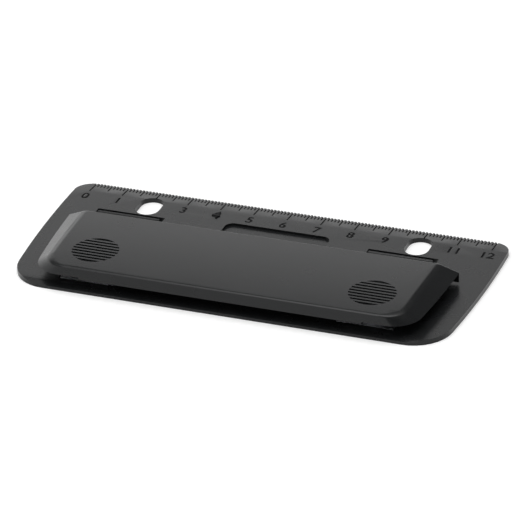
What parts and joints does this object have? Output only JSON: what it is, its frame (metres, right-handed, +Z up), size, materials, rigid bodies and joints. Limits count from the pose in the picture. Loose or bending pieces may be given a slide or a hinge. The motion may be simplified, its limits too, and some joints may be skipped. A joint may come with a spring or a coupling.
{
  "type": "pocket hole punch",
  "caption": "Flat hand punch for ring binders: a thin plate with a bevelled ruler edge and filing slots, and a long sprung lever that presses pins through folded steel brackets.",
  "frame": {"origin": "centre of the underside's bounding rectangle, on the table", "axes": "+X along the ruler from its 0 to its 12, +Y towards the ruler edge, +Z up"},
  "size_m": [0.1292, 0.0594, 0.0078],
  "materials": {
    "plate_plastic": "fine satin grain, black",
    "lever_plastic": "satin, black",
    "bracket_steel": "rolled sheet, nickel plated",
    "rivet_steel": "bright, flush heads",
    "punch_steel": "ground",
    "spring_steel": "drawn wire"
  },
  "bodies": {
    "base": {"base_plate": "plate_plastic", "punch_bracket_left": "bracket_steel", "punch_bracket_right": "bracket_steel", "bracket_rivet_left_outer": "rivet_steel", "bracket_rivet_left_inner": "rivet_steel", "bracket_rivet_right_outer": "rivet_steel", "bracket_rivet_right_inner": "rivet_steel", "return_spring_left": "spring_steel", "return_spring_right": "spring_steel"},
    "lever": {"press_lever": "lever_plastic"},
    "pin_left": {"punch_left": "punch_steel"},
    "pin_right": {"punch_right": "punch_steel"}
  },
  "joints": [
    {"name": "lever_hinge", "type": "hinge", "parent": "base", "child": "lever", "pos_m": [0, 0.01405, 0.00075], "axis": [1, 0, 0], "range_deg": [0, 2.82], "stiffness_Nm_per_rad": 1.23, "springref_deg": -3.44},
    {"name": "pin_left_slide", "type": "slide", "parent": "base", "child": "pin_left", "axis": [0, 0, -1], "range_m": [0, 0.0017], "deforming": ["return_spring_left"]},
    {"name": "pin_right_slide", "type": "slide", "parent": "base", "child": "pin_right", "axis": [0, 0, -1], "range_m": [0, 0.0017], "deforming": ["return_spring_right"]}
  ],
  "couplings": [
    {"joint": "pin_left_slide", "follows": "lever_hinge", "m_per_rad": 0.0325},
    {"joint": "pin_right_slide", "follows": "lever_hinge", "m_per_rad": 0.0325}
  ]
}
